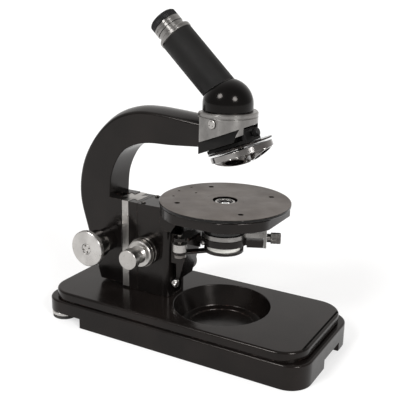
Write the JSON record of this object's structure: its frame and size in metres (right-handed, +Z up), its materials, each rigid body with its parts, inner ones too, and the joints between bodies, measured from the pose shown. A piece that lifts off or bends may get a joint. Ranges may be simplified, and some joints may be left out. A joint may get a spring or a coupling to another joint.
{
  "type": "compound microscope",
  "caption": "Upright monocular microscope with inclined tube, revolving nosepiece, round rotating stage, focusing substage condenser and a long flat foot with a light well.",
  "frame": {"origin": "middle of the foot's underside, on the table", "axes": "+Z up, +X from the limb towards the stage end of the foot, +Y to the side away from the filter pivot"},
  "size_m": [0.277, 0.121, 0.3019],
  "materials": {
    "enamel": "glossy black enamel, slightly worn",
    "stage_black": "satin black stage lacquer, worn grey",
    "satin_metal": "satin nickel plate",
    "dark_metal": "darkened polished steel",
    "bright_metal": "polished chrome",
    "black_plastic": "knurled black moulding",
    "glass": "clear polished optical glass",
    "opal_glass": "white opal glass",
    "rubber": "dull rubber"
  },
  "bodies": {
    "stand": {"base_casting": "enamel", "pillar_block": "enamel", "slide_guide": "enamel", "pillar_screw_near": "dark_metal", "pillar_screw_far": "dark_metal", "pillar_foot_screw": "satin_metal", "fine_collar_near": "dark_metal", "fine_collar_far": "dark_metal", "stage_bracket": "enamel", "stage_plate": "enamel"},
    "fine_slide": {"fine_slide": "satin_metal", "coarse_rack": "satin_metal"},
    "fine_knobs": {"fine_shaft": "dark_metal", "fine_knob_near": "satin_metal", "fine_knob_far": "satin_metal"},
    "limb": {"limb": "enamel", "coarse_hub_near": "enamel", "coarse_hub_far": "enamel", "head_casting": "satin_metal", "head_clamp_screw": "satin_metal", "nose_receiver": "enamel"},
    "coarse_knobs": {"coarse_pinion": "dark_metal", "coarse_drum_near": "satin_metal", "coarse_drum_far": "satin_metal", "coarse_knob_near": "satin_metal", "coarse_knob_far": "satin_metal", "coarse_knob_screw_near": "satin_metal", "coarse_knob_screw_far": "satin_metal"},
    "eye_head": {"prism_housing": "enamel", "deflecting_prism": "glass", "body_tube": "enamel", "tube_flange": "satin_metal"},
    "eyepiece": {"eyepiece_barrel": "satin_metal", "eye_cap": "black_plastic", "eye_lens": "glass", "field_lens": "glass"},
    "nose_slide": {"nose_slide": "enamel", "turret_guard": "enamel", "turret_screw": "satin_metal"},
    "nose_lock": {"nose_lock_knob": "black_plastic"},
    "turret": {"turret": "bright_metal"},
    "stage_disc": {"stage_disc": "stage_black"},
    "substage": {"substage_slide": "enamel", "condenser_carrier": "enamel", "condenser_clamp": "satin_metal", "condenser_body": "satin_metal", "condenser_lens": "glass", "carrier_set_screw": "satin_metal", "filter_pin": "dark_metal"},
    "substage_knob": {"substage_knob": "satin_metal"},
    "condenser_screw": {"condenser_screw": "satin_metal"},
    "iris": {"iris_ring": "dark_metal"},
    "filter_swing": {"filter_holder": "enamel", "filter_glass": "opal_glass", "filter_barrel": "satin_metal"},
    "pad_near": {"levelling_pad_near": "rubber"},
    "pad_far": {"levelling_pad_far": "rubber"},
    "levelling_near": {"levelling_screw_near": "satin_metal"},
    "levelling_far": {"levelling_screw_far": "satin_metal"}
  },
  "joints": [
    {"name": "fine_turn", "type": "hinge", "parent": "stand", "child": "fine_knobs", "pos_m": [-0.043, 0, 0.078], "axis": [0, 1, 0], "range_deg": [-1800, 1800]},
    {"name": "fine_focus", "type": "slide", "parent": "stand", "child": "fine_slide", "axis": [0, 0, 1], "range_m": [-0.001, 0.001]},
    {"name": "coarse_focus", "type": "slide", "parent": "fine_slide", "child": "limb", "axis": [0, 0, 1], "range_m": [-0.003, 0.034]},
    {"name": "coarse_turn", "type": "hinge", "parent": "limb", "child": "coarse_knobs", "pos_m": [-0.0904, 0, 0.0796], "axis": [0, 1, 0], "range_deg": [-28.7, 324.7]},
    {"name": "head_swivel", "type": "hinge", "parent": "limb", "child": "eye_head", "pos_m": [0.031, 0, 0.218], "axis": [0, 0, 1], "continuous": true},
    {"name": "eyepiece_draw", "type": "slide", "parent": "eye_head", "child": "eyepiece", "axis": [-0.723, 0, 0.6909], "range_m": [0, 0.03]},
    {"name": "nose_draw", "type": "slide", "parent": "limb", "child": "nose_slide", "axis": [0.9272, 0, 0.3746], "range_m": [0, 0.045]},
    {"name": "nose_lock_turn", "type": "hinge", "parent": "nose_slide", "child": "nose_lock", "pos_m": [0.05519, 0, 0.20017], "axis": [0.9272, 0, 0.3746], "range_deg": [-90, 90]},
    {"name": "turret_turn", "type": "hinge", "parent": "nose_slide", "child": "turret", "pos_m": [0.04637, 0, 0.18194], "axis": [-0.3746, 0, 0.9272], "continuous": true},
    {"name": "stage_turn", "type": "hinge", "parent": "stand", "child": "stage_disc", "pos_m": [0.031, 0, 0.133], "axis": [0, 0, 1], "continuous": true},
    {"name": "substage_turn", "type": "hinge", "parent": "stand", "child": "substage_knob", "pos_m": [-0.026, 0, 0.057], "axis": [0, 1, 0], "range_deg": [0, 206.4]},
    {"name": "substage_focus", "type": "slide", "parent": "stand", "child": "substage", "axis": [0, 0, 1], "range_m": [-0.018, 0]},
    {"name": "condenser_screw_turn", "type": "hinge", "parent": "substage", "child": "condenser_screw", "pos_m": [0.031, 0, 0.1012], "axis": [0.9063, 0.4226, 0], "range_deg": [-360, 0]},
    {"name": "iris_turn", "type": "hinge", "parent": "substage", "child": "iris", "pos_m": [0.031, 0, 0.0972], "axis": [0, 0, 1], "range_deg": [-30, 30]},
    {"name": "filter_turn", "type": "hinge", "parent": "substage", "child": "filter_swing", "pos_m": [0.0015, -0.03, 0.089], "axis": [0, 0, 1], "range_deg": [-110, 0]},
    {"name": "pad_near_travel", "type": "slide", "parent": "stand", "child": "pad_near", "axis": [0, 0, 1], "range_m": [-0.004, 0]},
    {"name": "levelling_near_turn", "type": "hinge", "parent": "pad_near", "child": "levelling_near", "pos_m": [-0.1245, -0.043, 0.006], "axis": [0, 0, 1], "range_deg": [-1440, 0]},
    {"name": "pad_far_travel", "type": "slide", "parent": "stand", "child": "pad_far", "axis": [0, 0, 1], "range_m": [-0.004, 0]},
    {"name": "levelling_far_turn", "type": "hinge", "parent": "pad_far", "child": "levelling_far", "pos_m": [-0.1245, 0.043, 0.006], "axis": [0, 0, 1], "range_deg": [-1440, 0]}
  ],
  "couplings": [
    {"joint": "fine_turn", "follows": "fine_focus", "rad_per_m": 31416},
    {"joint": "coarse_turn", "follows": "coarse_focus", "rad_per_m": 166.67},
    {"joint": "substage_turn", "follows": "substage_focus", "rad_per_m": -200},
    {"joint": "levelling_near_turn", "follows": "pad_near_travel", "rad_per_m": 6283.2},
    {"joint": "levelling_far_turn", "follows": "pad_far_travel", "rad_per_m": 6283.2}
  ]
}
